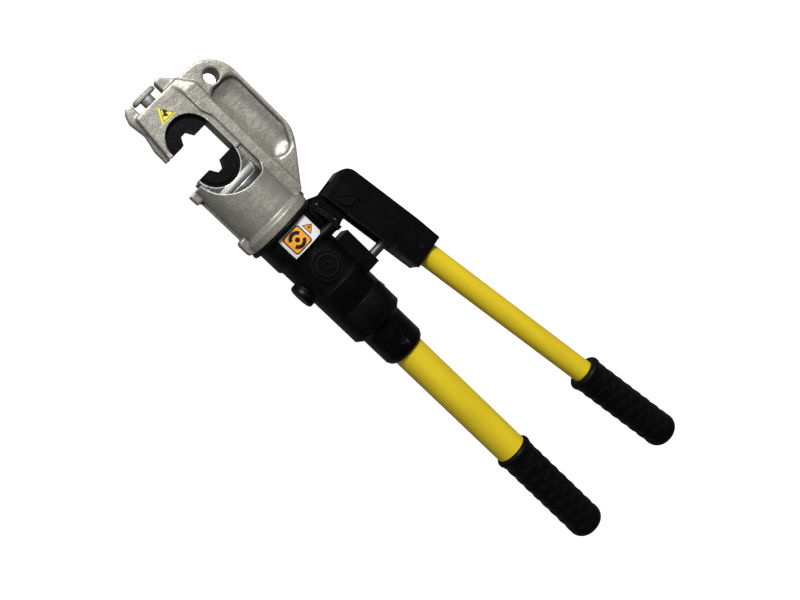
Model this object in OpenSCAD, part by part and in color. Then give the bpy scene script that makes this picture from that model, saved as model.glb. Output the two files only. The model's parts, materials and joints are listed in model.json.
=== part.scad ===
// Hand-pumped hydraulic crimping tool: a C-shaped head that swivels on a pump body,
// two half-round dies closed by a ram, a fixed handle that holds the oil and a moving
// handle that drives the pump plunger. Lengths are millimetres.
// +X runs along the ram's axis from the jaw to the grips, +Y points to the moving
// handle and +Z is up. Every module works in the tool's own frame, whose origin is on
// the ram's axis at the swivel face, and place() moves it to the stored frame.

/* [Head] */
// Swivel face to the outer face of the jaw
head_len = 153.8; // [150:0.1:160]
// Swivel face to the flat of the fixed die
jaw_face = 110.0; // [108:0.1:112]
// Gap between the open dies, which is the ram's stroke
stroke = 30; // [26:0.5:30]
// Thickness of the jaw
jaw_t = 28; // [26:0.5:29]
// Thickness of the web behind the throat
web_t = 26; // [22:0.5:27]
// Thickness of the rib along the throat
rib_t = 32; // [30:0.5:34]
// Height of the web's back above the ram's axis
back_y = 72.0; // [68:0.1:73]
// Upper and lower edges of the rib above the ram's axis
rib_hi = 38.3; // [37:0.1:40]
rib_lo = 27.8; // [27:0.1:29]
// Depth of the throat above the ram's axis
throat_y = 21.8; // [21.6:0.1:23]
// Radius of the half-round dies and of their seats
die_r = 21.5; // [20:0.1:21.5]
seat_r = 21.6; // [21.6:0.1:22]
// Thickness of the dies
die_t = 21; // [18:0.5:22]
// Outer radius of the barrel and radius of its bore
barrel_r = 31.5; // [31:0.1:33]
bore_r = 25.5; // [25.5:0.1:26]
// Radius and width of the flange at the swivel face
flange_r = 35; // [34:0.1:35.4]
flange_w = 9.5; // [8:0.5:11]
// Radius of the hanging hole
hang_r = 7; // [5:0.5:8]
// Hanging hole ahead of the swivel face and above the ram's axis
hang_x = 134.7; // [132:0.1:137]
hang_y = 52.7; // [50:0.1:53]

/* [Pump] */
// Radius and width of the swivel's lock ring
lock_r = 35.5; // [35.5:0.1:36.5]
lock_w = 4; // [3:0.5:4]
// Radius of the neck and place of its rear end
neck_r = 30.5; // [30:0.1:31]
neck_end = 30.5; // [28:0.1:31]
// Radius of the pump body and the oil housing
body_r = 28.2; // [28:0.1:29]
// Seam between the pump body and the oil housing
seam_x = 95.7; // [94:0.1:98]
// Rear ends of the oil housing's wide part and of its collar
body_end = 126.8; // [125:0.1:130]
collar_end = 164; // [160:0.5:170]
// Radius of the collar
collar_r = 22; // [21:0.1:23]
// Pump block above the body: front, top above the axis, and width
block_x = 44.7; // [43:0.1:46]
block_y = 39.5; // [38:0.1:41]
block_w = 26; // [22:1:28]
// Plunger's axis behind the swivel face, and its radius
plunger_x = 79.2; // [77:0.1:80]
plunger_r = 4.4; // [4:0.1:4.6]

/* [Handles] */
// Outer radius of the fixed handle's tube
tube_r = 16.1; // [16:0.1:17]
// Outer radius of the moving handle's tube
arm_r = 11.6; // [11:0.1:12]
// Ends of the fixed grip behind the swivel face
grip_x0 = 307; // [300:0.1:320]
grip_x1 = 425.5; // [425:0.1:440]
// Radius of the grips and of the lip at their mouths
grip_r = 18; // [17:0.1:20]
lip_r = 19.2; // [18:0.1:21]
// Moving handle's pivot behind the swivel face and above the axis
pivot_x = 23.5; // [22:0.1:24]
pivot_y = 60.2; // [59:0.1:61]
// Angle between the handles as stored, in degrees
rest_angle = 7.8; // [6:0.1:9]
// Ends of the moving grip, measured from the pivot
arm_grip_x0 = 292.5; // [285:0.5:298]
arm_grip_x1 = 409; // [400:0.5:415]

/* [Hidden] */
$fn = 72;
eps = 0.01;

// Head
die_gap_x = -jaw_face + stroke;
mouth_x = die_gap_x + 4.3;
jaw_seat_x = -jaw_face - seat_r;
web_z = web_t / 2;
jaw_z = jaw_t / 2;
rib_z = rib_t / 2;
pocket_z = 5;
rib_end_x = -12;
corner_r = 30;
shoulder_r = 35;
shoulder_x = -64.6;
jaw_low_tip = -20.4;
jaw_low_root = -25.5;
cut_low = -24.7;
cut_high = 27.5;
cut_end = -46.2;
lug_tip = head_len + 12.5;
notch_r = 8.2;
lug_in = 14;
lug_out = 24.4;
lug_z = 7.5;
ridge = 3.2;
// Ram
ram_r = bore_r - 0.05;
ram_rear = -28.5;
ram_flat_z = 12.5;
ram_flat_x = -60;
flat_fillet = 8;
spring_bore_r = 11;
spring_bore_x = -53;
anchor_r = 2.2;
// Die lock
pin_r = 3;
tip_x = jaw_seat_x + 4.5;
knob_x = -lug_tip + 0.3;
knob_t = 4.8;
knob_half = 10.2;
bush_x = knob_x + knob_t + 0.3;
lock_bore_r = 5.4;
lock_spring_x = -150;
pin_collar_x = -138;
// Swivel
spigot_r = 15.95;
spigot_x = -18.2;
base_x = -25;
base_rear = -6.2;
waist_r = 20;
// Pump
gland_r = 5.6;
block_end = plunger_x + gland_r + 0.6;
valve_x = 57.2;
valve_y = -34.4;
cap_r = 12.4;
relief_x = 50.5;
relief_r = 10.5;
pad_y = 30.6;
plate_t = 4;
bolts = [[10, 12], [30.2, 21]];
bolt_r = 3;
bolt_head_r = 5;
head_y = pad_y + plate_t;
boss_r = 5.5;
pin_hole_r = 6.05;
button_x = 104.5;
button_r = 3;
rear_spigot_r = 22.8;
rear_spigot_x = 112;
tube_x0 = 132.2;
tube_pin_x = 150;
bladder_x1 = 330;
tube_pin_r = 2.5;
// Moving handle, in its own frame with the pivot at the origin
socket_x0 = -19.5;
socket_x1 = 93.2;
socket_low = -12;
socket_top = 23.9;
socket_z = 15.3;
channel_z = 9.5;
channel_top = 13;
channel_x0 = -16;
channel_end = 72.8;
arm_y = 5.5;
hinge_x = 62.5;
hinge_y = -9.2;
lever_t = 3;
arm_pin_x = 83;
arm_pin_r = 2;
groove_x = [54.5, 69];
groove_y = -1;
groove_z = 12;
link_r = 3.5;
groove_r = link_r + 2.4;
arm_gap = 6.3;
lug_half = 9.2;
link_y = (plunger_x - pivot_x) * tan(rest_angle);
wall = 3;

// Extent of the whole tool, for the stored frame's origin
function arm_point(x, y) = [
    pivot_x + x * cos(rest_angle) - y * sin(rest_angle),
    pivot_y + x * sin(rest_angle) + y * cos(rest_angle)];
arm_grip_r = grip_r - 0.5;
grip_end_r = 12;
high_y = arm_point(arm_grip_x1 - grip_end_r, arm_y + arm_grip_r - grip_end_r)[1] + grip_end_r;
flange_boss_y = 37.5;
mid = [(grip_x1 - lug_tip) / 2, (high_y - flange_boss_y) / 2];

module place() { translate([-mid[0], -mid[1], lock_r]) children(); }
module on_arm() {
    place() translate([pivot_x, pivot_y, 0]) rotate([0, 0, rest_angle]) children();
}

// Building shapes
module x_rod(r, x0, x1) { translate([x0, 0, 0]) rotate([0, 90, 0]) cylinder(r = r, h = x1 - x0); }
module y_rod(r, y0, y1) { translate([0, y1, 0]) rotate([90, 0, 0]) cylinder(r = r, h = y1 - y0); }
module z_rod(r, z0, z1) { translate([0, 0, z0]) cylinder(r = r, h = z1 - z0); }
module box(low, high) { translate(low) cube(high - low); }
module slab(half) { translate([0, 0, -half]) linear_extrude(2 * half) children(); }
// Solid of revolution about X from [x, radius] points
module turned(points) {
    rotate([0, 90, 0]) rotate_extrude() polygon([for (p = points) [p[1], p[0]]]);
}
module x_torus(ring, wire, x) {
    translate([x, 0, 0]) rotate([0, 90, 0]) rotate_extrude() translate([ring, 0]) circle(r = wire, $fn = 24);
}
function arc(x, y, r, a0, a1, n) =
    [for (i = [0:n]) let (a = a0 + (a1 - a0) * i / n) [x + r * cos(a), y + r * sin(a)]];

// Round wire wound about Z from z = 0
spring_sides = 8;
spring_steps = 16;
module coil(ring, wire, height, turns) {
    rings = spring_steps * turns;
    pitch = (height - 2 * wire) / turns;
    points = [for (i = [0:rings]) for (j = [0:spring_sides - 1])
        let (a = 360 * i / spring_steps, b = 360 * j / spring_sides, r = ring + wire * cos(b))
        [r * cos(a), r * sin(a), wire + pitch * i / spring_steps + wire * sin(b)]];
    sides = [for (i = [0:rings - 1]) for (j = [0:spring_sides - 1])
        let (k = (j + 1) % spring_sides, a = i * spring_sides, b = a + spring_sides)
        [a + j, b + j, b + k, a + k]];
    first = [for (j = [0:spring_sides - 1]) j];
    last = [for (j = [spring_sides - 1:-1:0]) rings * spring_sides + j];
    polyhedron(points, concat(sides, [first], [last]), convexity = 8);
}

// Head
module web_outline() {
    polygon(concat(
        [[-head_len, jaw_low_tip]],
        arc(-head_len + corner_r, back_y - corner_r, corner_r, 180, 90, 14),
        arc(shoulder_x, back_y - shoulder_r, shoulder_r, 90, 53.4, 8),
        [[rib_end_x, rib_hi], [rib_end_x, rib_lo - 4], [-jaw_face, throat_y],
         [-jaw_face, jaw_low_root]]));
}
module rib_outline() {
    end_drop = 10;
    polygon([[-head_len, rib_hi - end_drop], [-head_len + 13, rib_hi], [rib_end_x, rib_hi],
             [rib_end_x + 3, rib_hi - 4], [rib_end_x + 3, rib_lo], [mouth_x, rib_lo],
             [-jaw_face, rib_lo], [-head_len + 34, rib_lo - 3.6], [-head_len + 11, rib_lo - 3.6],
             [-head_len, rib_lo - 6.3]]);
}
module jaw_outline() {
    polygon([[-head_len, jaw_low_tip], [-jaw_face, jaw_low_root], [-jaw_face, rib_lo],
             [-head_len, rib_lo]]);
}
module pocket_outline() {
    left = -125.5;
    right = -42.5;
    top = back_y - 4.2;
    bottom = rib_hi;
    r = 9;
    polygon(concat(
        arc(left + r, top - r, r, 180, 90, 6),
        arc(right - 22, top - 16, 16, 90, 70, 4),
        arc(right - 13, bottom + 13, 13, 45, -90, 10),
        arc(left + r, bottom + r, r, 270, 180, 6)));
}
// Opening that shows the moving die, a wide curve below and a tight one above
module cut_outline() {
    low_r = 30.7;
    high_r = 10;
    polygon(concat([[mouth_x - 1, cut_low]],
        arc(cut_end - low_r, cut_low + low_r, low_r, -90, 0, 12),
        arc(cut_end - high_r, cut_high - high_r, high_r, 0, 90, 8),
        [[mouth_x - 1, cut_high]]));
}
module barrel_outside() {
    turned([[mouth_x, 0], [mouth_x, barrel_r], [-flange_w - 3, barrel_r], [-flange_w, flange_r - 1],
            [-flange_w + 1, flange_r], [-1, flange_r], [0, flange_r - 1], [0, 0]]);
    box([mouth_x + 10, -barrel_r - 2, -3], [-flange_w, -bore_r - 2, 3]);
    box([mouth_x, -36.5, -8], [mouth_x + 10.5, -bore_r - 1, 8]);
    for (x = [-14.5, -4]) translate([x, -flange_boss_y + 3, 0]) z_rod(3, -9, 9);
    box([-14.5, -flange_boss_y, -9], [-4, -30, 9]);
    box([-17.5, -flange_boss_y + 3, -9], [-1, -30, 9]);
    box([-11.5, 30, -6], [-4.5, 37, 6]);
}
// Lugs that guard the die lock's crossbar, the lower one running out along the jaw
module guard_lug(side, foot, shoulder) {
    r = 3;
    tip = -lug_tip;
    slab(lug_z) polygon(concat(
        arc(tip + r, side * (lug_in + r), r, 180, 180 + 90 * side, 5),
        [[foot[0] + 6, side * lug_in], foot, shoulder,
         [tip + r, side * (lug_out - 1.5)], [tip, side * (lug_in + 6)]]));
}
module jaw_ridge() {
    slab(lug_z - 1) polygon([[-head_len + 1, 0], [-head_len + 1, jaw_low_tip - 1], [-135, jaw_low_root],
        [-123.5, jaw_low_root - ridge], [-jaw_face, jaw_low_root - ridge], [-jaw_face, jaw_low_root + 1],
        [-head_len + 20, 0]]);
}
module yoke_head() {
    color("silver") place() difference() {
        union() {
            slab(web_z) web_outline();
            slab(rib_z) rib_outline();
            slab(jaw_z) jaw_outline();
            box([-jaw_face - 3, throat_y, -jaw_z], [mouth_x + 3, rib_lo + 2, jaw_z]);
            barrel_outside();
            jaw_ridge();
            guard_lug(1, [-head_len + 1, lug_out + 8.5], [-head_len - 5, lug_out + 2]);
            guard_lug(-1, [-head_len + 14, jaw_low_root + 1], [-head_len - 1.5, -lug_out - 1.8]);
        }
        for (side = [0, 1]) mirror([0, 0, side])
            translate([0, 0, pocket_z]) linear_extrude(rib_z) pocket_outline();
        translate([-hang_x, hang_y, 0]) z_rod(hang_r, -rib_z, rib_z);
        // Slope at the rib's end
        for (side = [0, 1]) mirror([0, 0, side]) translate([0, rib_hi + 1, 0]) rotate([90, 0, 0])
            linear_extrude(rib_hi - throat_y + 2)
            polygon([[-head_len - 1, jaw_z], [-head_len + 13, rib_z], [-head_len - 1, rib_z + 1]]);
        // Seat of the fixed die
        translate([-jaw_face, 0, 0]) z_rod(seat_r, -rib_z - 1, rib_z + 1);
        // Throat between the jaw and the barrel
        box([-jaw_face, -flange_r - 4, -flange_r], [mouth_x, throat_y, flange_r]);
        // Opening round the moving die, milled to the level of the ram's flats
        for (side = [0, 1]) mirror([0, 0, side])
            translate([0, 0, ram_flat_z]) linear_extrude(flange_r) cut_outline();
        // Bore, which runs on through the throat's back so that the ram can pass
        x_rod(bore_r, -jaw_face, 1);
        x_rod(lock_bore_r, -head_len - 1, pin_collar_x + 3);
        x_rod(pin_r + 0.05, -head_len, jaw_seat_x + 3);
    }
}
module die() {
    rim_z = die_t / 2;
    difference() {
        union() {
            slab(rim_z) circle(r = die_r - 4);
            slab(rim_z - 2) circle(r = die_r);
        }
        box([0, -die_r - 1, -die_t], [die_r + 1, die_r + 1, die_t]);
        // Half-hexagon crimping notch
        slab(die_t) rotate([0, 0, 30]) circle(r = notch_r, $fn = 6);
    }
}
module upper_die() {
    color("#26262a") place() difference() {
        translate([-jaw_face, 0, 0]) die();
        x_rod(pin_r + 0.1, jaw_seat_x - 1, tip_x + 1);
    }
}
module lower_die() {
    color("#26262a") place() difference() {
        translate([die_gap_x, 0, 0]) mirror([1, 0, 0]) die();
        x_rod(2.6, die_gap_x + die_r - 5, die_gap_x + die_r + 1);
    }
}
module ram() {
    color("#c9ccd0") place() difference() {
        x_rod(ram_r, die_gap_x + 1, ram_rear);
        for (side = [0, 1]) mirror([0, 0, side]) {
            box([die_gap_x, -ram_r - 1, ram_flat_z], [ram_flat_x, ram_r + 1, ram_r + 1]);
            translate([ram_flat_x, 0, ram_flat_z + flat_fillet]) y_rod(flat_fillet, -ram_r - 1, ram_r + 1);
            box([ram_flat_x - 1, -ram_r - 1, ram_flat_z + flat_fillet],
                [ram_flat_x + flat_fillet, ram_r + 1, ram_r + 1]);
        }
        translate([die_gap_x, 0, 0]) z_rod(seat_r, -ram_r, ram_r);
        x_rod(spring_bore_r, spring_bore_x, ram_rear + 1);
        x_rod(2.5, die_gap_x + seat_r - 1, spring_bore_x - 1.5);
        // Grooves for the seal and the guide ring
        for (x = [-35, -43]) difference() {
            x_rod(ram_r + 1, x, x + 4);
            x_rod(ram_r - 2.5, x - 1, x + 5);
        }
        translate([spring_bore_x + 3.5, 0, 0]) y_rod(anchor_r + 0.02, -16, 16);
    }
}
module ring_in_bore(x) {
    difference() {
        x_rod(ram_r - 0.02, x + 0.1, x + 3.9);
        x_rod(ram_r - 2.4, x, x + 4);
    }
}
module ram_seal() { color("#202020") place() ring_in_bore(-35); }
module ram_guide_ring() { color("#b98d4a") place() ring_in_bore(-43); }
module die_dowel() { color("#a9acb0") place() x_rod(2.45, die_gap_x + die_r - 4.5, spring_bore_x - 2); }
module spring_anchor_front() {
    color("#a9acb0") place() translate([spring_bore_x + 3.5, 0, 0]) y_rod(anchor_r, -15.5, 15.5);
}
module spring_anchor_rear() {
    color("#a9acb0") place() {
        x_rod(3, base_x - 5.5, base_x + 4);
        x_rod(5, base_x - 5.5, base_x - 3.5);
    }
}
module return_spring() {
    front = spring_bore_x + 6;
    color("#8a8d92") place() translate([front, 0, 0]) rotate([0, 90, 0])
        coil(8, 1.2, base_x - 3.6 - front, 7);
}
module cylinder_base() {
    color("#9a9da2") place() difference() {
        x_rod(bore_r - 0.05, base_x, base_rear);
        x_rod(spigot_r + 0.05, base_x + 6, base_rear + 1);
        x_rod(3.05, base_x - 1, base_x + 4.1);
        for (a = [45:90:315]) rotate([a, 0, 0]) translate([0, 9, 0]) x_rod(1.5, base_x - 1, base_x + 7);
    }
}
module lock_ring() {
    color("#1b1b1d") place() difference() {
        turned([[0, 0], [0, lock_r - 0.5], [0.5, lock_r], [lock_w - 0.8, lock_r],
                [lock_w, lock_r - 0.8], [lock_w, 0]]);
        x_rod(waist_r + 0.4, -1, lock_w + 1);
    }
}
module swivel_seal() { color("#202020") place() x_torus(14.6, 1.3, -12.5); }
module die_lock_pin() {
    color("#b9bcc0") place() {
        x_rod(pin_r, knob_x + 0.5, tip_x);
        x_rod(lock_bore_r - 0.3, pin_collar_x, pin_collar_x + 2.5);
    }
}
module die_lock_knob() {
    color("#9b9ea1") place() difference() {
        union() {
            for (y = [-knob_half, knob_half]) translate([0, y, 0]) x_rod(2.4, knob_x, knob_x + knob_t);
            box([knob_x, -knob_half, -2.4], [knob_x + knob_t, knob_half, 2.4]);
            x_rod(5, knob_x, knob_x + knob_t);
        }
        x_rod(pin_r + 0.02, knob_x + 0.5, knob_x + knob_t + 1);
    }
}
module die_lock_bush() {
    color("#8d9093") place() difference() {
        union() {
            x_rod(6.1, bush_x, -head_len);
            x_rod(lock_bore_r - 0.05, -head_len - eps, lock_spring_x);
        }
        x_rod(pin_r + 0.05, bush_x - 1, lock_spring_x + 1);
    }
}
module die_lock_spring() {
    color("#8a8d92") place() translate([lock_spring_x + 0.1, 0, 0]) rotate([0, 90, 0])
        coil(4.1, 0.5, pin_collar_x - lock_spring_x - 0.2, 5);
}
module warning_sticker() {
    color("#f2e23a") place() translate([0, -1, jaw_z + 0.02]) linear_extrude(0.25)
        polygon([[-147.9, 0], [-134, 8.2], [-134, -8.2]]);
}

// Pump
module sector(r, a0, a1) {
    // Pie slice seen along X, with the angle counted from +Z towards +Y
    rotate([90, 0, 90]) linear_extrude(1000, center = true)
        polygon(concat([[0, 0]], [for (p = arc(0, 0, r * 2, 90 - a0, 90 - a1, 6)) p]));
}
module turn_arrow() {
    x = 71.5;
    rise = 0.8;
    sweep = 46;
    intersection() {
        difference() {
            x_rod(body_r + rise, x - 1, x + 1);
            x_rod(body_r - 1, x - 2, x + 2);
        }
        sector(body_r, -sweep, sweep + 2);
    }
    for (side = [-1, 1]) intersection() {
        x_rod(body_r + rise, x - 6, x + 6);
        rotate([-side * (sweep + 3), 0, 0]) translate([x, 0, body_r - 1.5]) linear_extrude(6)
            polygon([[-3.4, -side * 5], [3.4, -side * 5], [0, side * 5]]);
    }
}
module pump_body() {
    color("#18181a") place() difference() {
        union() {
            x_rod(spigot_r, spigot_x, 1);
            x_rod(bore_r - 1, base_rear + 0.5, -0.5);
            x_rod(waist_r, -1, lock_w + 1);
            turned([[lock_w + 0.4, 0], [lock_w + 0.4, neck_r], [neck_end - 3, neck_r],
                    [neck_end, body_r], [seam_x, body_r], [seam_x, 0]]);
            x_rod(rear_spigot_r, seam_x - 1, rear_spigot_x);
            box([block_x, 0, -block_w / 2], [block_end, block_y, block_w / 2]);
            translate([valve_x, 0, 0]) y_rod(cap_r, valve_y + 5.8, 0);
            translate([relief_x, 0, 0]) z_rod(14.2, 0, body_r + 0.6);
            // Pad and bosses under the pivot bracket
            box([5, 10, -16], [37.5, pad_y, 16]);
            for (z = [-bolts[1][1], bolts[1][1]]) translate([bolts[1][0], 0, z]) {
                y_rod(boss_r, 14, pad_y);
                translate([0, 14, 0]) rotate([90, 0, 0]) cylinder(r1 = boss_r, r2 = 1.5, h = 12);
            }
            turn_arrow();
        }
        // Oil way, plunger bore, valve chamber, relief bore
        x_rod(2.5, spigot_x - 1, plunger_x);
        translate([plunger_x, 0, 0]) {
            y_rod(plunger_r + 0.05, -18, block_y + 1);
            y_rod(gland_r + 0.05, block_y - 9, block_y + 1);
        }
        translate([valve_x, 0, 0]) {
            y_rod(8.05, valve_y, -20);
            y_rod(4, -21, -12);
            y_rod(1.8, -13, 0);
        }
        translate([relief_x, 0, 0]) {
            z_rod(7.05, 14, body_r + 2);
            z_rod(4, 6, 15);
            z_rod(1.8, 0, 7);
        }
        for (b = bolts) for (z = [-b[1], b[1]]) translate([b[0], 0, z]) y_rod(bolt_r + 0.05, 15, pad_y + 1);
        // Groove of the swivel seal
        difference() {
            x_rod(spigot_r + 1, -14, -11);
            x_rod(13.2, -15, -10);
        }
        // Release button's bore and way
        translate([button_x, 0, 0]) y_rod(button_r + 0.05, 8, 40);
        translate([0, 12, 0]) x_rod(1.5, plunger_x, rear_spigot_x + 1);
        x_rod(6.1, rear_spigot_x - 6, rear_spigot_x + 1);
    }
}
module info_label() {
    color("#f4f4f2") place() intersection() {
        difference() {
            x_rod(neck_r + 0.3, lock_w + 1, neck_end - 3.2);
            x_rod(neck_r + 0.03, 0, neck_end);
            translate([bolts[1][0], 0, bolts[1][1]]) y_rod(boss_r + 0.3, 0, pad_y);
        }
        sector(neck_r, -29, 38);
    }
}
module oil_housing() {
    color("#18181a") place() difference() {
        turned([[seam_x + 0.1, 0], [seam_x + 0.1, body_r - 0.3], [seam_x + 0.4, body_r],
                [body_end - 3.7, body_r],
                [body_end + 1, collar_r + 0.6], [body_end + 2, collar_r], [collar_end - 6, collar_r],
                [collar_end - 2, collar_r - 2], [collar_end, tube_r + 1.5], [collar_end, 0]]);
        x_rod(rear_spigot_r + 0.05, seam_x - 1, rear_spigot_x + 10);
        x_rod(tube_r - wall - 0.3, seam_x, tube_x0 + 8);
        x_rod(tube_r + 0.05, tube_x0 - 0.2, collar_end + 1);
        translate([button_x, 0, 0]) y_rod(button_r + 0.3, 20, 40);
        translate([tube_pin_x, 0, 0]) z_rod(tube_pin_r + 0.05, -collar_r - 1, collar_r + 1);
    }
}
module pivot_bracket() {
    color("#18181a") place() difference() {
        union() {
            translate([0, head_y, 0]) rotate([90, 0, 0]) linear_extrude(plate_t - 0.02)
                polygon([[5.4, -18], [12, -18], [21, -27], [37.5, -27],
                         [37.5, 27], [21, 27], [12, 18], [5.4, 18]]);
            slab(lug_half) polygon(concat(
                [[5.4, head_y - 1], [5.4, 35], [4.6, 36.2], [0.6, 36.2], [1.5, 38]],
                arc(pivot_x, pivot_y, 11, 165, 10, 16),
                [[36, 42], [37.5, 38], [37.5, head_y - 1]]));
        }
        translate([pivot_x, pivot_y, 0]) z_rod(pin_hole_r, -30, 30);
        for (b = bolts) for (z = [-b[1], b[1]]) translate([b[0], 0, z]) {
            y_rod(bolt_r + 0.3, pad_y - 1, head_y + 1);
            y_rod(bolt_head_r + 0.3, head_y, head_y + 4.5);
        }
    }
}
module bracket_bolts() {
    color("#2c2c2f") place() for (b = bolts) for (z = [-b[1], b[1]]) translate([b[0], head_y, z]) {
        y_rod(bolt_r, -17, 1);
        difference() {
            intersection() {
                translate([0, -2.5, 0]) sphere(r = 6.5);
                y_rod(bolt_head_r, 0.02, 10);
            }
            y_rod(2, 2, 10, $fn = 6);
        }
    }
}
module relief_plug() {
    color("#1d1d1f") place() translate([relief_x, 0, 0]) difference() {
        union() {
            z_rod(relief_r - 0.8, body_r + 2, body_r + 2.6);
            z_rod(relief_r, body_r + 0.62, body_r + 2);
            z_rod(7, 17, body_r + 1);
        }
        z_rod(3, body_r + 1, body_r + 4, $fn = 6);
    }
}
module relief_spring() {
    color("#8a8d92") place() translate([relief_x, 0, 9.6]) coil(2.8, 0.6, 7.3, 4);
}
module relief_poppet() {
    color("#c9ccd0") place() translate([relief_x, 0, 0]) {
        translate([0, 0, 6.05]) cylinder(r1 = 1.5, r2 = 3.2, h = 1.7);
        z_rod(3.2, 7.7, 9.5);
        z_rod(1.4, 9.4, 12);
    }
}
module valve_cap() {
    color("#1d1d1f") place() translate([valve_x, 0, 0]) {
        translate([0, valve_y, 0]) rotate([-90, 0, 0]) rotate_extrude() polygon(concat(
            [[0, 0]], arc(cap_r - 2.5, 2.5, 2.5, -90, 0, 5), [[cap_r, 5.7], [0, 5.7]]));
        y_rod(8, valve_y + 5, -22);
    }
}
module valve_spring() {
    color("#8a8d92") place() translate([valve_x, -21.9, 0]) rotate([-90, 0, 0]) coil(2.6, 0.6, 5.4, 3);
}
module valve_ball() { color("#c9ccd0") place() translate([valve_x, -14.2, 0]) sphere(r = 2.2, $fn = 36); }
module plunger_gland() {
    color("#b08d57") place() translate([plunger_x, 0, 0]) difference() {
        y_rod(gland_r, block_y - 5.9, block_y);
        y_rod(plunger_r + 0.05, 0, block_y + 1);
    }
}
module plunger_seal() {
    color("#202020") place() translate([plunger_x, 0, 0]) difference() {
        y_rod(gland_r, block_y - 8.9, block_y - 6);
        y_rod(plunger_r + 0.03, 0, block_y + 1);
    }
}
module release_button() {
    color("#b9bcc0") place() translate([button_x, 0, 0]) y_rod(button_r, 14, body_r + 0.8);
}
module release_spring() {
    color("#8a8d92") place() translate([button_x, 8.2, 0]) rotate([-90, 0, 0]) coil(2.2, 0.4, 5.7, 4);
}
module oil_bladder() {
    color("#3a3a3a") place() difference() {
        union() {
            x_rod(tube_r - wall - 0.6, rear_spigot_x + 6, bladder_x1);
            x_rod(rear_spigot_r - 3, rear_spigot_x + 0.5, rear_spigot_x + 7);
        }
        x_rod(tube_r - wall - 2, rear_spigot_x - 1, bladder_x1 - 2);
    }
}
module filler_plug() {
    color("#b08d57") place() {
        x_rod(6, rear_spigot_x - 5.5, rear_spigot_x + 0.2);
        x_rod(8, rear_spigot_x + 0.2, rear_spigot_x + 4, $fn = 6);
    }
}
// Handle tube with a cross hole for its pin
module tube(r, x0, x1, pin_x, hole_r) {
    difference() {
        x_rod(r, x0, x1);
        x_rod(r - wall, x0 - 1, x1 + 1);
        translate([pin_x, 0, 0]) z_rod(hole_r, -r - 1, r + 1);
    }
}
module fixed_tube() {
    color("#f2dd20") place() tube(tube_r, tube_x0, grip_x1 - 9, tube_pin_x, tube_pin_r + 0.05);
}
module fixed_tube_pin() {
    color("#2c2c2f") place() translate([tube_pin_x, 0, 0]) z_rod(tube_pin_r, tube_r - wall, collar_r - 0.1);
}
// Grip with a flared lip, from its mouth at x0 to its closed round end at x1
module grip(r, lip, inner, x0, x1) {
    difference() {
        turned(concat(
            [[x0, 0], [x0, lip - 1.6]], arc(x0 + 1.8, lip - 1.8, 1.8, 180, 90, 5),
            [[x0 + 5, lip], [x0 + 9, r]],
            arc(x1 - grip_end_r, r - grip_end_r, grip_end_r, 90, 0, 8), [[x1, 0]]));
        x_rod(inner + 0.05, x0 - 1, x1 - 8.8);
    }
}
module fixed_grip() { color("#1c1c1e") place() grip(grip_r, lip_r, tube_r, grip_x0, grip_x1); }

// Plunger
module plunger() {
    eye_y = pivot_y + link_y;
    color("#d4d6d9") place() translate([plunger_x, 0, 0]) difference() {
        union() {
            y_rod(plunger_r, -12, eye_y);
            translate([0, eye_y, 0]) intersection() {
                z_rod(5.2, -5.5, 5.5);
                y_rod(5.5, -20, 20);
            }
        }
        translate([0, eye_y, 0]) z_rod(link_r + 0.02, -20, 20);
    }
}
module link_pin() {
    half = groove_z - 0.3;
    color("#a9acb0") place() translate([plunger_x, pivot_y + link_y, 0]) z_rod(link_r, -half, half);
}

// Moving handle
module socket_side() {
    nose_r = 13;
    polygon(concat([[socket_x0, socket_low], [socket_x1, socket_low], [socket_x1, socket_top - 1.4],
             [66, socket_top]],
        arc(socket_x0 + nose_r, socket_top - nose_r, nose_r, 90, 160, 6)));
}
module socket_plan() {
    bevel = 4.5;
    polygon([[socket_x0, socket_z - bevel], [socket_x0 + bevel, socket_z],
             [socket_x1 - 1, socket_z], [socket_x1, socket_z - 1],
             [socket_x1, 1 - socket_z], [socket_x1 - 1, -socket_z],
             [socket_x0 + bevel, -socket_z], [socket_x0, bevel - socket_z]]);
}
module handle_socket() {
    color("#18181a") on_arm() difference() {
        intersection() {
            slab(socket_z) socket_side();
            translate([0, 40, 0]) rotate([90, 0, 0]) linear_extrude(80) socket_plan();
        }
        box([channel_x0, socket_low - 1, -channel_z], [channel_end, channel_top, channel_z]);
        box([socket_x0 - 1, socket_low - 1, -channel_z], [channel_x0 + 0.5, 4, channel_z]);
        // Recess of the release lever
        box([channel_end - 1, socket_low - 1, -channel_z], [socket_x1 + 1, -8.4, channel_z]);
        // Blind grooves that the link pin rides in
        for (x = groove_x) translate([x, groove_y, 0]) z_rod(groove_r, -groove_z, groove_z);
        box([groove_x[0], groove_y - groove_r, -groove_z], [groove_x[1], groove_y + groove_r, groove_z]);
        z_rod(6.02, -socket_z - 1, socket_z + 1);
        translate([0, arm_y, 0]) x_rod(arm_r + 0.05, channel_end - 1, socket_x1 + 1);
        translate([arm_pin_x, arm_y, 0]) z_rod(arm_pin_r + 0.05, -socket_z - 1, socket_z + 1);
        translate([hinge_x, hinge_y, 0]) z_rod(1.55, -socket_z - 1, socket_z + 1);
    }
}
module pivot_pin() {
    head_z = socket_z + 1.6;
    color("#2c2c2f") on_arm() difference() {
        union() {
            z_rod(6, -socket_z - 2.4, socket_z + 0.5);
            z_rod(8.8, socket_z + 0.02, head_z - 0.6);
            translate([0, 0, head_z - 0.6]) cylinder(r1 = 8.8, r2 = 8.2, h = 0.6);
        }
        rotate([0, 0, 38]) box([-10, -0.9, head_z - 1.1], [10, 0.9, head_z + 1]);
        difference() {
            z_rod(7, -socket_z - 1.6, -socket_z - 0.4);
            z_rod(5.2, -socket_z - 2, -socket_z);
        }
    }
}
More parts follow.
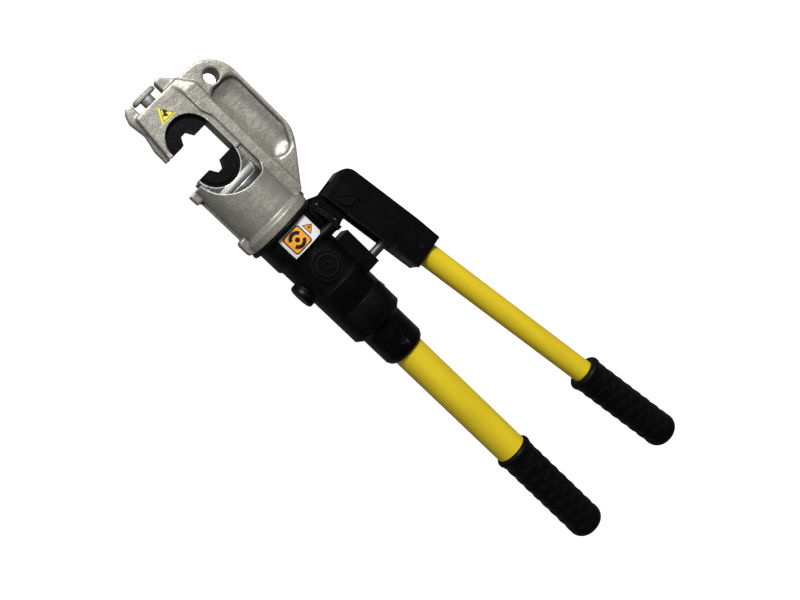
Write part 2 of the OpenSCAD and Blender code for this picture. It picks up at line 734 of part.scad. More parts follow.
module pivot_clip() {
    color("#77797d") on_arm() difference() {
        z_rod(8, -socket_z - 1.5, -socket_z - 0.5);
        z_rod(5.25, -socket_z - 2, -socket_z);
        box([0, -2, -socket_z - 3], [10, 2, -socket_z + 1]);
    }
}
module moving_tube() {
    color("#f2dd20") on_arm() translate([0, arm_y, 0])
        tube(arm_r, channel_end + 0.3, arm_grip_x1 - 10, arm_pin_x, arm_pin_r + 0.05);
}
module moving_tube_pin() {
    half = socket_z - 0.2;
    color("#2c2c2f") on_arm() translate([arm_pin_x, arm_y, 0]) z_rod(arm_pin_r, -half, half);
}
module moving_grip() {
    color("#1c1c1e") on_arm() translate([0, arm_y, 0])
        grip(arm_grip_r, lip_r - 0.6, arm_r, arm_grip_x0, arm_grip_x1);
}
module release_lever() {
    half = channel_z - 0.3;
    color("#8f9294") on_arm() difference() {
        union() {
            box([hinge_x, socket_low, -half], [socket_x1 - 0.5, socket_low + lever_t, half]);
            translate([hinge_x, hinge_y, 0]) z_rod(2.7, -half, half);
        }
        box([hinge_x - 5, -20, -arm_gap], [channel_end + 2, 0, arm_gap]);
        translate([hinge_x, hinge_y, 0]) z_rod(1.55, -20, 20);
    }
}
module lever_pin() {
    color("#a9acb0") on_arm() translate([hinge_x, hinge_y, 0]) for (side = [0, 1]) mirror([0, 0, side])
        z_rod(1.5, arm_gap + 0.1, socket_z - 0.2);
}

yoke_head();
upper_die();
lower_die();
ram();
ram_seal();
ram_guide_ring();
cylinder_base();
return_spring();
spring_anchor_front();
spring_anchor_rear();
die_dowel();
lock_ring();
swivel_seal();
die_lock_pin();
die_lock_knob();
die_lock_bush();
die_lock_spring();
warning_sticker();
pump_body();
info_label();
oil_housing();
pivot_bracket();
bracket_bolts();
relief_plug();
relief_spring();
relief_poppet();
valve_cap();
valve_spring();
valve_ball();
plunger_gland();
plunger_seal();
release_button();
release_spring();
oil_bladder();
filler_plug();
fixed_tube();
fixed_tube_pin();
fixed_grip();
plunger();
link_pin();
handle_socket();
pivot_pin();
pivot_clip();
moving_tube();
moving_tube_pin();
moving_grip();
release_lever();
lever_pin();
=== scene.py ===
import json
import math

import bmesh
import bpy
from mathutils import Matrix, Vector


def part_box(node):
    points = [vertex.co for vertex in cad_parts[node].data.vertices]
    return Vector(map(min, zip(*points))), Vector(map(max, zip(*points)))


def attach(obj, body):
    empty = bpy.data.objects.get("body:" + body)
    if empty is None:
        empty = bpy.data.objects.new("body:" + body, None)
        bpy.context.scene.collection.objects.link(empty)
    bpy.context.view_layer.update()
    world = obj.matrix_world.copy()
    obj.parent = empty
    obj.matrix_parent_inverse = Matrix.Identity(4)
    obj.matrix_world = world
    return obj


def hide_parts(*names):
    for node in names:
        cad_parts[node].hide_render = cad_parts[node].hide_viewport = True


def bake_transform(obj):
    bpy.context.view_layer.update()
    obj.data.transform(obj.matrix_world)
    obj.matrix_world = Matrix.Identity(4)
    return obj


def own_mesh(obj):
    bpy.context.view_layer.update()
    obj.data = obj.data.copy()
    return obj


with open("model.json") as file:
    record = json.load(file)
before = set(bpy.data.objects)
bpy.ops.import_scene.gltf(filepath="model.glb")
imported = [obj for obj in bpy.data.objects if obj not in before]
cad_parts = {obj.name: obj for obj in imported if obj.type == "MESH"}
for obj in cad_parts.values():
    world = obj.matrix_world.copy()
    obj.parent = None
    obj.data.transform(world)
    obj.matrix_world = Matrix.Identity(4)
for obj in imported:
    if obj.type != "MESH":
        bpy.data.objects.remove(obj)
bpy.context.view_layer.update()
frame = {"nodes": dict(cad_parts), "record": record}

MM = 0.001
REST_ANGLE = math.radians(7.8)


def middle(node):
    """Centre of a CAD node's box."""
    low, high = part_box(node)
    return (low + high) / 2


swivel = middle("lock_ring")
swivel.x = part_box("lock_ring")[0].x
pivot = middle("pivot_pin")
pivot.z = swivel.z

TOOL = Matrix.Translation(swivel)
ARM = Matrix.Translation(pivot) @ Matrix.Rotation(REST_ANGLE, 4, "Z")


# ---------------------------------------------------------------- materials
NOISE_RANGE = (0.3, 0.7)  # nearly all of a noise texture's values
NOISE_MIDDLE = (0.35, 0.65)  # the same with more contrast
AO_SAMPLES = 6


def map_range(nodes, low, high, to_low, to_high):
    """A node that maps low..high to to_low..to_high, clamped."""
    node = nodes.new("ShaderNodeMapRange")
    sockets = ("From Min", "From Max", "To Min", "To Max")
    for socket, value in zip(sockets, (low, high, to_low, to_high)):
        node.inputs[socket].default_value = value
    return node


class Look:
    """A material under construction, with short calls for the nodes that every finish here uses."""

    def __init__(self, name, roughness=0.5, metallic=0.0, specular=0.5):
        self.material = bpy.data.materials.new(name)
        self.material.use_nodes = True
        self.nodes = self.material.node_tree.nodes
        self.links = self.material.node_tree.links
        self.shader = self.nodes["Principled BSDF"]
        self.set("Roughness", roughness)
        self.set("Metallic", metallic)
        self.set("Specular IOR Level", specular)
        self.where = self.nodes.new("ShaderNodeTexCoord").outputs["Object"]

    def set(self, socket, value):
        self.shader.inputs[socket].default_value = value

    def link(self, out, into):
        self.links.new(out, into)

    def noise(self, size, detail=3.0, roughness=0.5, stretch=None):
        """Cloudy noise whose features are about `size` metres across."""
        node = self.nodes.new("ShaderNodeTexNoise")
        node.inputs["Scale"].default_value = 1 / size
        node.inputs["Detail"].default_value = detail
        node.inputs["Roughness"].default_value = roughness
        source = self.where
        if stretch:
            mapping = self.nodes.new("ShaderNodeMapping")
            mapping.inputs["Scale"].default_value = stretch
            self.link(source, mapping.inputs["Vector"])
            source = mapping.outputs["Vector"]
        self.link(source, node.inputs["Vector"])
        return node.outputs["Fac"]

    def cells(self, size):
        """Distance to the nearest of scattered points, about `size` metres apart."""
        node = self.nodes.new("ShaderNodeTexVoronoi")
        node.inputs["Scale"].default_value = 1 / size
        self.link(self.where, node.inputs["Vector"])
        return node.outputs["Distance"]

    def spread(self, source, low, high, to_low=0, to_high=1):
        """Maps low..high to to_low..to_high, clamped."""
        node = map_range(self.nodes, low, high, to_low, to_high)
        self.link(source, node.inputs["Value"])
        return node.outputs["Result"]

    def mix(self, source, a, b):
        """Runs from a to b with source; a and b are colours or other mixes."""
        node = self.nodes.new("ShaderNodeMix")
        node.data_type = "RGBA"
        self.link(source, node.inputs[0])
        for socket, value in ((node.inputs[6], a), (node.inputs[7], b)):
            if isinstance(value, tuple):
                socket.default_value = (*value, 1)
            else:
                self.link(value, socket)
        return node.outputs[2]

    def paint(self, source, a, b):
        """Base colour that runs from a to b with source."""
        self.link(self.mix(source, a, b), self.shader.inputs["Base Color"])

    def rough(self, source, low, high):
        """Roughness that runs from low to high with a noise."""
        self.link(self.spread(source, *NOISE_RANGE, low, high), self.shader.inputs["Roughness"])

    def bump(self, *layers):
        """Stacks (height source, depth in metres) layers into the normal."""
        normal = None
        for source, depth in layers:
            node = self.nodes.new("ShaderNodeBump")
            node.inputs["Distance"].default_value = depth
            self.link(source, node.inputs["Height"])
            if normal:
                self.link(normal, node.inputs["Normal"])
            normal = node.outputs["Normal"]
        self.link(normal, self.shader.inputs["Normal"])

    def occlusion(self, reach, inside):
        node = self.nodes.new("ShaderNodeAmbientOcclusion")
        node.samples = AO_SAMPLES
        node.inside = inside
        node.inputs["Distance"].default_value = reach
        return node.outputs["AO"]

    def edges(self, reach):
        """0 on flat surfaces, rising to 1 along outer edges."""
        return self.spread(self.occlusion(reach, inside=True), 0.92, 0.62)

    def corners(self, reach):
        """0 in recesses, rising to 1 in the open."""
        return self.spread(self.occlusion(reach, inside=False), 0.42, 0.92)


def cast_steel():
    """Cloudy, speckled castings with a painted edge highlight and painted shade in recesses."""
    look = Look("cast_steel", metallic=0.5)
    cloud = look.spread(look.noise(0.02, 4), *NOISE_MIDDLE)
    unscuffed_unshaded = look.mix(cloud, (0.215, 0.205, 0.175), (0.31, 0.30, 0.265))
    speck = look.spread(look.noise(0.0011, 2, 0.6), *NOISE_MIDDLE)
    unscuffed_unshaded = look.mix(speck, (0.17, 0.16, 0.135), unscuffed_unshaded)
    # Painted highlight: outer edges turn light grey, standing in for light caught on their rounding.
    unscuffed_unshaded = look.mix(look.edges(0.0013), unscuffed_unshaded, (0.66, 0.65, 0.62))
    # Painted shade: the colour runs to near black in recesses, where shade falls.
    look.paint(look.corners(0.015), (0.045, 0.041, 0.034), unscuffed_unshaded)
    look.rough(look.noise(0.004, 3), 0.36, 0.50)
    look.bump((look.noise(0.008, 3), 0.0005), (look.noise(0.0016, 3, 0.6), 0.0002))
    return look


def black_oxide():
    look = Look("black_oxide", specular=0.14)
    look.paint(look.noise(0.008, 4), (0.0012, 0.0012, 0.0013), (0.0032, 0.003, 0.003))
    look.rough(look.noise(0.003, 4), 0.24, 0.36)
    look.bump((look.noise(0.0012, 2, stretch=(1, 1, 0.1)), 0.00002))
    return look


def ground_steel():
    """Ground steel with fine lines across the tool and a painted highlight along its edges."""
    look = Look("ground_steel", metallic=0.8)
    lines = look.noise(0.0012, 2, stretch=(1, 0.06, 0.06))
    turned = look.spread(lines, *NOISE_MIDDLE)
    turned = look.mix(turned, (0.055, 0.055, 0.052), (0.11, 0.11, 0.105))
    # Painted highlight: outer edges turn near white, standing in for light caught on the chamfers.
    look.paint(look.edges(0.0011), turned, (0.80, 0.80, 0.78))
    look.rough(lines, 0.34, 0.50)
    look.bump((lines, 0.00001))
    return look


def zinc_steel():
    look = Look("zinc_steel", metallic=0.7)
    look.paint(look.noise(0.006, 4), (0.13, 0.13, 0.125), (0.24, 0.24, 0.23))
    look.rough(look.noise(0.002, 3), 0.50, 0.66)
    look.bump((look.noise(0.0014, 3), 0.00010))
    return look


def spring_steel():
    look = Look("spring_steel", roughness=0.3, metallic=1.0)
    look.paint(look.noise(0.004, 3), (0.18, 0.18, 0.18), (0.34, 0.34, 0.34))
    look.bump((look.noise(0.0006, 2), 0.00002))
    return look


def bronze():
    look = Look("bronze", roughness=0.32, metallic=1.0)
    look.paint(look.noise(0.004, 3), (0.34, 0.19, 0.07), (0.52, 0.33, 0.13))
    look.bump((look.noise(0.0008, 2), 0.00002))
    return look


def seal_rubber():
    look = Look("seal_rubber", roughness=0.6)
    look.paint(look.noise(0.005, 3), (0.008, 0.008, 0.008), (0.02, 0.02, 0.02))
    look.bump((look.noise(0.0007, 3), 0.00004))
    return look


def black_paint():
    """Black enamel over a casting, with a painted highlight along its edges."""
    look = Look("black_paint", specular=0.09)
    cloud = look.spread(look.noise(0.02, 4), *NOISE_MIDDLE)
    coat = look.mix(cloud, (0.0006, 0.0006, 0.0008), (0.0014, 0.0013, 0.0016))
    # Painted highlight: outer edges turn a lighter grey, standing in for light on the bevels.
    look.paint(look.edges(0.0006), coat, (0.013, 0.013, 0.014))
    look.rough(look.noise(0.006, 4), 0.30, 0.44)
    look.bump((look.noise(0.006, 2), 0.00012), (look.noise(0.0011, 2), 0.00003))
    return look


def black_screws():
    look = Look("black_screws", roughness=0.3, specular=0.12)
    look.paint(look.noise(0.002, 3), (0.0015, 0.0015, 0.0016), (0.003, 0.003, 0.003))
    look.bump((look.noise(0.0008, 2), 0.00003))
    return look


def yellow_tube():
    """Yellow paint streaked along the tube, with a few scuffs."""
    look = Look("yellow_tube", specular=0.25)
    streak = look.spread(look.noise(0.012, 4, stretch=(0.25, 1, 1)), *NOISE_RANGE)
    unscuffed_unshaded = look.mix(streak, (0.48, 0.355, 0.009), (0.54, 0.405, 0.013))
    scuff = look.spread(look.noise(0.004, 6, 0.7), 0.66, 0.74)
    look.paint(scuff, unscuffed_unshaded, (0.42, 0.30, 0.010))
    look.rough(look.noise(0.005, 3), 0.36, 0.50)
    look.bump((look.noise(0.0015, 2, stretch=(0.2, 1, 1)), 0.00003))
    return look


def grip_rubber():
    look = Look("grip_rubber", specular=0.08)
    look.paint(look.noise(0.01, 4), (0.001, 0.001, 0.001), (0.002, 0.002, 0.002))
    look.rough(look.noise(0.004, 3), 0.34, 0.52)
    look.bump((look.cells(0.0009), 0.00006), (look.noise(0.003, 3), 0.0001))
    return look


def label_white():
    look = Look("label_white", specular=0.3)
    look.paint(look.noise(0.006, 4), (0.48, 0.465, 0.50), (0.55, 0.535, 0.565))
    look.rough(look.noise(0.003, 2), 0.28, 0.42)
    look.bump((look.noise(0.002, 2), 0.00002))
    return look


def sticker_yellow():
    look = Look("sticker_yellow", roughness=0.4, specular=0.3)
    look.paint(look.noise(0.003, 4), (0.50, 0.45, 0.04), (0.62, 0.56, 0.07))
    look.bump((look.noise(0.002, 2), 0.00002))
    return look


def print_orange():
    look = Look("print_orange", roughness=0.4, specular=0.3)
    look.paint(look.noise(0.004, 4), (0.55, 0.225, 0.014), (0.64, 0.28, 0.022))
    return look


def print_black():
    look = Look("print_black", roughness=0.45, specular=0.2)
    look.paint(look.noise(0.003, 3), (0.005, 0.003, 0.003), (0.014, 0.009, 0.007))
    return look


MAKERS = [
    cast_steel, black_oxide, ground_steel, zinc_steel, spring_steel, bronze, seal_rubber,
    black_paint, black_screws, yellow_tube, grip_rubber, label_white, sticker_yellow, print_orange,
    print_black,
]
LOOKS = {make.__name__: make().material for make in MAKERS}


def dress(obj, look):
    """Gives obj one finish."""
    obj.data.materials.clear()
    obj.data.materials.append(LOOKS[look])
    for face in obj.data.polygons:
        face.material_index = 0


for part in frame["record"]["subparts"]:
    dress(frame["nodes"][part["node"]], part["material_slot"])


# ---------------------------------------------------------------- edges of the CAD nodes
EDGE_WIDTHS_MM = {
    "upper_die": 0.3, "lower_die": 0.3, "ram": 0.35, "lock_ring": 0.25, "die_lock_bush": 0.4,
    "pump_body": 0.5, "oil_housing": 0.4, "pivot_bracket": 0.8, "bracket_bolts": 0.2,
    "relief_plug": 0.3, "handle_socket": 0.7, "pivot_pin": 0.25, "release_lever": 0.5,
    "plunger": 0.25, "release_button": 0.3, "valve_cap": 0.2,
}
SHARP_ANGLE = math.radians(28)
WELD_GAP = 1e-6


def weld(obj):
    """Joins the points that neighbouring CAD faces have in common."""
    obj.modifiers.new("weld", "WELD").merge_threshold = WELD_GAP


def soften(node, width_mm):
    """Rounds a CAD node's sharp edges with modifiers, so that they catch light."""
    obj = frame["nodes"][node]
    weld(obj)
    bevel = obj.modifiers.new("bevel", "BEVEL")
    bevel.width = width_mm * MM
    bevel.segments = 2
    bevel.limit_method = "ANGLE"
    bevel.angle_limit = SHARP_ANGLE
    bevel.harden_normals = True
    bevel.use_clamp_overlap = True


for node, width_mm in EDGE_WIDTHS_MM.items():
    soften(node, width_mm)


# ---------------------------------------------------------------- helpers for new pieces
def add_mesh(name, mesh, look):
    """A new object with one finish."""
    obj = bpy.data.objects.new(name, mesh)
    bpy.context.scene.collection.objects.link(obj)
    dress(obj, look)
    return obj


def baked(obj):
    """obj's mesh with its modifiers applied, as a new mesh."""
    shown = obj.evaluated_get(bpy.context.evaluated_depsgraph_get())
    return bpy.data.meshes.new_from_object(shown)


def apply_modifiers(obj):
    bpy.context.view_layer.update()
    obj.data = baked(obj)
    obj.modifiers.clear()


def mesh_of(name, maker):
    """Closes a bmesh with its faces turned outwards, and returns it as a mesh."""
    bmesh.ops.recalc_face_normals(maker, faces=maker.faces)
    mesh = bpy.data.meshes.new(name)
    maker.to_mesh(mesh)
    maker.free()
    return mesh


def ramp(value, start, end):
    """0 before start, 1 past end, and a smooth rise between. end may be below start."""
    t = min(max((value - start) / (end - start), 0), 1)
    return t * t * (3 - 2 * t)


# ---------------------------------------------------------------- head casting
# Everything here is in tool millimetres. Each soft zone fades in between two values.
VOXEL = 0.65
RIB_Y = (25, 31)
LUG_X = (-150, -153)
JAW_END_X, JAW_END_Y = (-134, -142), (14, 20)
JAW_LOW_X, JAW_LOW_Y = (-112, -116), (-17, -21)
BARREL_LOW_X, BARREL_LOW_Y = (-74, -68), (-27, -31)
BARREL_LOW_SOFT = 0.6
LEAST_SOFT = 0.08
CAST_TURNS, POCKET_TURNS = 30, 90

POCKET_X, POCKET_Y = (-125.5, -42.5), (38.3, 67.8)
POCKET_FADE = (-2.5, 0.5)
POCKET_FLOOR_Z, POCKET_RIM_Z = 5.0, 13.0
POCKET_FILLET = 13.0

BORE_R = 25.56
BORE_X = (-113.0, -8.0)
BORE_INSIDE_R = 21


def softness(point):
    """How far the casting's edges are rounded at a point, 0 to 1."""
    rib = ramp(point.y, *RIB_Y)
    lugs = ramp(point.x, *LUG_X)
    jaw_end = ramp(point.x, *JAW_END_X) * ramp(point.y, *JAW_END_Y)
    jaw_low = ramp(point.x, *JAW_LOW_X) * ramp(point.y, *JAW_LOW_Y)
    barrel_low = BARREL_LOW_SOFT * ramp(point.y, *BARREL_LOW_Y) * ramp(point.x, *BARREL_LOW_X)
    return max(rib, lugs, jaw_end, jaw_low, barrel_low, LEAST_SOFT)


def inside_pocket(point):
    """Distance from a point to the edge of the web's pocket, which is negative outside."""
    left, right = POCKET_X
    low, high = POCKET_Y
    return min(point.x - left, right - point.x, point.y - low, high - point.y)


def pocket_softness(point):
    """1 in the web's pocket and on its walls, and 0 outside."""
    return ramp(inside_pocket(point), *POCKET_FADE)


def scooped(point):
    """Turns the pocket's flat floor into a scoop with wide fillets."""
    edge, below_floor = 0.4, 1.5
    depth = inside_pocket(point)
    if depth < edge or not POCKET_FLOOR_Z - below_floor <= abs(point.z) <= POCKET_RIM_Z:
        return point
    rest = 1 - min(depth / POCKET_FILLET, 1)
    level = POCKET_RIM_Z - (POCKET_RIM_Z - POCKET_FLOOR_Z) * math.sqrt(1 - rest * rest)
    if abs(point.z) >= level:
        return point
    return Vector((point.x, point.y, math.copysign(level, point.z)))


def bored(point):
    """Puts the bore's wall, and whatever stands in the ram's way, back on the bore's radius."""
    distance = math.hypot(point.y, point.z)
    if not (BORE_X[0] < point.x < BORE_X[1] and BORE_INSIDE_R < distance < BORE_R):
        return point
    out = BORE_R / distance
    return Vector((point.x, point.y * out, point.z * out))


def reshape(head, moved):
    """Moves the head's points to where moved(point) puts them."""
    to_tool = TOOL.inverted() @ head.matrix_world
    to_head = to_tool.inverted()
    for vertex in head.data.vertices:
        point = to_tool @ vertex.co / MM
        place = moved(point)
        if place is not point:
            vertex.co = to_head @ (place * MM)


def relax(head, name, weight_at, turns):
    """Rounds the head's surface by `turns` smoothing steps where weight_at gives more than 0."""
    group = head.vertex_groups.new(name=name)
    to_tool = TOOL.inverted() @ head.matrix_world
    for vertex in head.data.vertices:
        group.add([vertex.index], weight_at(to_tool @ vertex.co / MM), "REPLACE")
    smooth = head.modifiers.new("smooth", "SMOOTH")
    smooth.factor = 0.5
    smooth.iterations = turns
    smooth.vertex_group = name
    apply_modifiers(head)
    head.vertex_groups.clear()


def cast_head():
    """The yoke with the fillets of a casting, soft everywhere but at its machined faces."""
    node = frame["nodes"]["yoke_head"]
    head = add_mesh("cast_head", baked(node), "cast_steel")
    head.matrix_world = node.matrix_world
    weld(head)
    remesh = head.modifiers.new("remesh", "REMESH")
    remesh.mode = "VOXEL"
    remesh.voxel_size = VOXEL * MM
    apply_modifiers(head)
    reshape(head, scooped)
    relax(head, "cast", softness, CAST_TURNS)
    relax(head, "pocket", pocket_softness, POCKET_TURNS)
    reshape(head, bored)
    dress(head, "cast_steel")
    head.data.shade_smooth()
    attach(head, "head")
    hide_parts("yoke_head")


cast_head()


# ---------------------------------------------------------------- springs
def spring(node):
    """A copy of a CAD spring in its place, with the CAD spring hidden."""
    source = frame["nodes"][node]
    copy = add_mesh(f"coiled_{node}", baked(source), "spring_steel")
    copy.data.transform(source.matrix_world)
    copy.data.shade_smooth()
    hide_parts(node)
    return copy


def pressed_spring(node, body):
    """A copied spring attached to a body, with a mesh of its own."""
    piece = spring(node)
    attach(piece, body)
    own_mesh(piece)


pressed_spring("die_lock_spring", "head")
pressed_spring(
    "relief_spring", "pump",
)
pressed_spring("release_spring", "pump")
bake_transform(spring("return_spring"))


# ---------------------------------------------------------------- turned pieces
def arc(x, r, radius, start, end, steps):
    """Points (x, r) along a circular arc, with angles in degrees."""
    turns = [math.radians(start + (end - start) * i / steps) for i in range(steps + 1)]
    return [(x + radius * math.cos(a), r + radius * math.sin(a)) for a in turns]


def revolve(name, profile_mm, raise_at, sides, look):
    """A closed solid turned about X from (x, r) points. raise_at(x, r, angle), which is in
    millimetres too, adds to the radius."""
    maker = bmesh.new()
    rings = []
    for x, r in profile_mm:
        if r == 0:
            rings.append([maker.verts.new((x * MM, 0, 0))])
            continue
        ring = []
        for i in range(sides):
            turn = 2 * math.pi * i / sides
            full = (r + raise_at(x, r, turn)) * MM
            ring.append(maker.verts.new((x * MM, full * math.cos(turn), full * math.sin(turn))))
        rings.append(ring)
    for a, b in zip(rings, rings[1:]):
        for i in range(sides):
            j = (i + 1) % sides
            corners = [a[i % len(a)], a[j % len(a)], b[j % len(b)], b[i % len(b)]]
            maker.faces.new(list(dict.fromkeys(corners)))
    mesh = mesh_of(name, maker)
    mesh.shade_smooth()
    return add_mesh(name, mesh, look)


def moulded_grip(name, node, body, place, start, end, radius, lip, tube):
    """A rubber grip with a smooth collar and rows of diamond lumps, in the place of `node`. It runs
    from start to end along its tube, and lip and tube are radii, all in millimetres."""
    pitch, starts, groove, flatness = 12.0, 3, 0.95, 0.42
    shoulder_r, lip_r, end_r = 3.6, 1.5, 12.0
    play, end_wall = 0.05, 8.8
    chamfer_x, chamfer_r = 0.8, 0.7
    slice_length, skin = 0.75, 0.5
    lip_x, lip_end, collar_end = start + 5, start + 8, start + 9
    fade_in_end, fade_out_from = collar_end + 4, end - end_r - 6
    smooth_from = end - end_r

    def lumps(x, r, turn):
        along = ramp(x, lip_end, fade_in_end) * (1 - ramp(x, fade_out_from, smooth_from))
        if along == 0 or r < radius - skin:
            return 0
        one = abs(math.sin(math.pi * x / pitch + starts * turn / 2))
        other = abs(math.sin(math.pi * x / pitch - starts * turn / 2))
        return -groove * along * (1 - (one * other) ** flatness)

    bore_r, bore_end = tube + play, end - end_wall
    profile = [(bore_end, 0), (bore_end, bore_r)]
    profile += [(start + chamfer_x, bore_r), (start, tube + chamfer_r)]
    profile += arc(start + shoulder_r, lip - shoulder_r, shoulder_r, 180, 90, 10)
    profile += arc(lip_x, lip - lip_r, lip_r, 85, 35, 4) + [(lip_end, radius)]
    length = smooth_from - collar_end
    steps = int(length / slice_length)
    profile += [(collar_end + length * i / steps, radius) for i in range(steps)]
    profile += arc(smooth_from, radius - end_r, end_r, 90, 0, 14) + [(end, 0)]
    grip = revolve(name, profile, lumps, sides=120, look="grip_rubber")
    grip.data.transform(place)
    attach(grip, body)
    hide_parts(node)


def puller():
    """The die lock's leaf-shaped puller: thin at its rims, with a blind hole for the lock's pin."""
    low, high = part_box("die_lock_knob")
    thick, long, tall = (high - low) / MM
    half_long, half_tall = long / 2, tall / 2
    pin_hole, end_wall, skin = 3.02, 0.5, 0.1
    fullness = 3

    def leaf(x, r, turn):
        if r < pin_hole + skin:
            return 0
        across, up = abs(math.cos(turn)) * half_tall / half_long, abs(math.sin(turn))
        return r * ((across ** fullness + up ** fullness) ** (-1 / fullness) - 1)

    # Distance from each face, and share of the half height.
    outer = [(0, 0), (0, 0.66), (0.12, 0.78), (0.4, 0.87), (0.9, 0.94), (1.5, 0.98), (2.2, 1)]
    inner = [(1, 1), (0.5, 0.985), (0.15, 0.95), (0, 0.88)]
    profile = [(x, share * half_tall) for x, share in outer]
    profile += [(thick - x, share * half_tall) for x, share in inner]
    profile += [(thick, pin_hole), (end_wall, pin_hole), (end_wall, 0)]
    plate = revolve("leaf_puller", profile, leaf, sides=96, look="zinc_steel")
    plate.data.transform(Matrix.Translation((low.x, swivel.y, swivel.z)))
    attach(plate, "die_lock")
    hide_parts("die_lock_knob")


ARM_AXIS = ARM @ Matrix.Translation((0, 5.5 * MM, 0))
moulded_grip(
    "ribbed_grip_fixed", "fixed_grip", "pump", TOOL,
    start=307, end=425.5, radius=18, lip=19.2, tube=16.1,
)
moulded_grip(
    "ribbed_grip_moving", "moving_grip", "handle", ARM_AXIS,
    start=292.5, end=409, radius=17.5, lip=18.6, tube=11.6,
)
puller()


# ---------------------------------------------------------------- printed marks
INK_DEPTH = 0.06 * MM
INK_STEP = 0.03 * MM
LABEL_R = 30.8
CORNER_INSET, TIP_INSET = 1.75, 2  # how far a triangle's corners move when its sides move in by 1


def printed(name, outline, place, layer, look, body, cut=None):
    """A thin printed shape on the first, second or third layer of ink. place(u, v, w) puts its
    plane on a surface. cut is the spacing of the lines across v that let it follow a curve."""
    maker = bmesh.new()
    maker.faces.new([maker.verts.new((u, v, 0)) for u, v in outline])
    if cut:
        low = min(v for _, v in outline)
        high = max(v for _, v in outline)
        for i in range(1, int((high - low) / cut) + 1):
            everything = maker.verts[:] + maker.edges[:] + maker.faces[:]
            line = (0, low + i * cut, 0)
            bmesh.ops.bisect_plane(maker, geom=everything, plane_co=line, plane_no=(0, 1, 0))
    bmesh.ops.triangulate(maker, faces=maker.faces)
    top = bmesh.ops.extrude_face_region(maker, geom=maker.faces[:])["geom"]
    raised = {g for g in top if isinstance(g, bmesh.types.BMVert)}
    height = INK_STEP * layer
    for vertex in maker.verts:
        w = height if vertex in raised else height - INK_DEPTH
        vertex.co = place(vertex.co.x, vertex.co.y, w)
    mark = add_mesh(name, mesh_of(name, maker), look)
    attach(mark, body)


def rounded(u0, u1, v0, v1, r, steps=6):
    """A rectangle's outline with round corners."""
    left, right, low, high = u0 + r, u1 - r, v0 + r, v1 - r
    corners = [(right, low, -90), (right, high, 0), (left, high, 90), (left, low, 180)]
    return [p for u, v, start in corners for p in arc(u, v, r, start, start + 90, steps)]


def triangle(u0, u1, v0, v1, inset=0.0):
    """A triangle's outline on a base from u0 to u1 at v0, with its tip at v1, moved in by inset."""
    corner, base, tip = CORNER_INSET * inset, v0 + inset, v1 - TIP_INSET * inset
    return [(u0 + corner, base), (u1 - corner, base), ((u0 + u1) / 2, tip)]


def on_label(u, v, w):
    """A place on the neck: u along the tool and v round it from its top, in millimetres, and w above
    its surface, in metres."""
    turn = v / LABEL_R
    r = LABEL_R + w / MM
    return TOOL @ (Vector((u, r * math.sin(turn), r * math.cos(turn))) * MM)


def label_marks():
    """The label's signs: two plain jaws round a dot in a framed square, and a small triangle."""
    def mark(name, outline, layer, look):
        printed(name, outline, on_label, layer, look, "pump", cut=1.2)

    u0, u1, v0, v1 = 6.2, 25.9, -12.6, 7.7
    border = 1.2
    inner = (u0 + border, u1 - border, v0 + border, v1 - border)
    mark("label_frame", rounded(u0, u1, v0, v1, r=2.6), 1, "print_black")
    mark("label_square", rounded(*inner, r=2.0), 2, "print_orange")

    centre_u, centre_v = (u0 + u1) / 2, (v0 + v1) / 2
    outer_r, inner_r, dot_r = 7.6, 4.2, 2.3
    apart, reach = 0.6, 68
    for side, name, facing in ((-1, "left", 180), (1, "right", 0)):
        u = centre_u + side * apart
        jaw = arc(u, centre_v, outer_r, facing - reach, facing + reach, 20)
        jaw += arc(u, centre_v, inner_r, facing + reach, facing - reach, 20)
        mark("label_jaw_" + name, jaw, 3, "print_black")
    mark("label_dot", arc(centre_u, centre_v, dot_r, 0, 345, 23), 3, "print_black")

    sign, bar = (10.4, 21.6, 10.0, 19.4), (15.3, 16.7, 12.0, 15.8)
    mark("label_sign_frame", triangle(*sign), 1, "print_black")
    mark("label_sign", triangle(*sign, inset=0.8), 2, "print_orange")
    mark("label_sign_bar", rounded(*bar, r=0.5, steps=3), 3, "print_black")


def on_jaw(u, v, w):
    """A place on the jaw's upper face: u along the tool and v across it, in millimetres, and w above
    the sticker, in metres."""
    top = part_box("warning_sticker")[1].z - swivel.z
    return TOOL @ Vector((u * MM, v * MM, top + w))


def sticker_marks():
    """The jaw sticker's dark inner line and a plain bolt sign."""
    def mark(name, outline, layer, look):
        printed(name, outline, on_jaw, layer, look, "head")

    tip, base, half = -147.9, -134.0, 8.2

    def inset_by(inset):
        corner = half - CORNER_INSET * inset
        return [(tip + TIP_INSET * inset, 0), (base - inset, corner), (base - inset, -corner)]

    mark("sticker_line", inset_by(1.0), 1, "print_black")
    mark("sticker_face", inset_by(1.5), 2, "sticker_yellow")
    bolt = [
        (-144.4, 0.8), (-138.9, 3.9), (-140.0, 1.2), (-136.2, 1.0), (-139.4, -3.4), (-140.2, -1.0),
    ]
    mark("sticker_sign", bolt, 3, "print_black")


label_marks()
sticker_marks()


# ---------------------------------------------------------------- floor, light and camera
def floor():
    """A plain pale floor, low enough for the head to swivel clear of it. It glows white for the
    camera only, as the photo's background is white, and the tool sees a mid grey."""
    size, level = 6.0, -0.04
    mesh = bpy.data.meshes.new("floor")
    corners = [(-size, -size), (size, -size), (size, size), (-size, size)]
    mesh.from_pydata([(x, y, level) for x, y in corners], [], [(0, 1, 2, 3)])
    look = Look("floor_pale", roughness=0.85, specular=0.0)
    look.set("Emission Color", (1, 1, 1, 1))
    seen = look.nodes.new("ShaderNodeLightPath").outputs["Is Camera Ray"]
    look.link(seen, look.shader.inputs["Emission Strength"])
    look.paint(look.noise(1.5, 2), (0.20, 0.20, 0.20), (0.22, 0.22, 0.22))
    obj = bpy.data.objects.new("floor", mesh)
    mesh.materials.append(look.material)
    bpy.context.scene.collection.objects.link(obj)


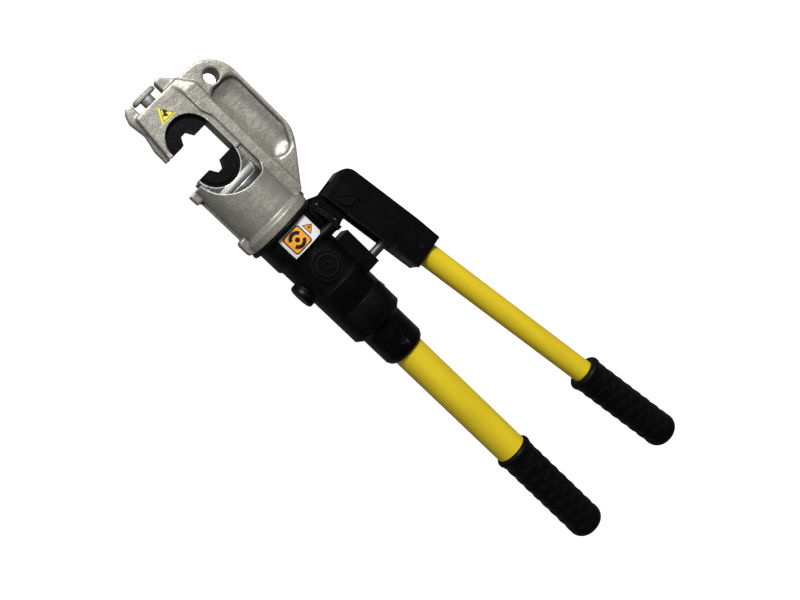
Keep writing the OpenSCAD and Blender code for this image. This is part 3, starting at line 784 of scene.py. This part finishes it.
def area_light(name, place, aim, size, power):
    data = bpy.data.lights.new(name, "AREA")
    data.shape = "RECTANGLE"
    data.size = data.size_y = size
    data.energy = power
    lamp = bpy.data.objects.new(name, data)
    lamp.location = place
    lamp.rotation_euler = (Vector(aim) - Vector(place)).to_track_quat("-Z", "Y").to_euler()
    bpy.context.scene.collection.objects.link(lamp)


def studio_world():
    """Soft surrounding light, stronger on the jaw's side and weaker overhead and below."""
    world = bpy.data.worlds.new("studio")
    world.use_nodes = True
    nodes, links = world.node_tree.nodes, world.node_tree.links
    direction = nodes.new("ShaderNodeTexCoord").outputs["Generated"]
    parts = nodes.new("ShaderNodeSeparateXYZ")
    links.new(direction, parts.inputs["Vector"])
    side = map_range(nodes, -0.8, 0.4, 1.3, 0.12)
    links.new(parts.outputs["X"], side.inputs["Value"])
    up = nodes.new("ShaderNodeValToRGB")
    for place, value in ((0.0, 0.08), (0.45, 1.0), (0.75, 1.0), (0.95, 0.35)):
        stop = up.color_ramp.elements.new(place)
        stop.color = (value, value, value, 1)
    up.color_ramp.elements.remove(up.color_ramp.elements[0])
    up.color_ramp.elements.remove(up.color_ramp.elements[-1])
    links.new(parts.outputs["Z"], up.inputs["Fac"])
    product = nodes.new("ShaderNodeMath")
    product.operation = "MULTIPLY"
    links.new(side.outputs["Result"], product.inputs[0])
    links.new(up.outputs["Color"], product.inputs[1])
    background = nodes["Background"]
    background.inputs["Color"].default_value = (1, 1, 1, 1)
    links.new(product.outputs["Value"], background.inputs["Strength"])
    bpy.context.scene.world = world


def camera():
    """Above the jaw, on the side away from the moving handle, looking down and turned so that the
    tool runs down to the right."""
    data = bpy.data.cameras.new("camera")
    data.lens = 47.0
    obj = bpy.data.objects.new("camera", data)
    obj.location = (-0.2100, -0.2113, 0.9688)
    tilt = (-0.11, -16.82, 42.91)
    obj.rotation_euler = [math.radians(a) for a in tilt]
    bpy.context.scene.collection.objects.link(obj)
    bpy.context.scene.camera = obj


floor()
area_light("key", (-1.15, 0.35, 1.35), (-0.05, 0, 0), size=0.5, power=44)
studio_world()
camera()
bpy.context.scene.view_settings.view_transform = "Standard"
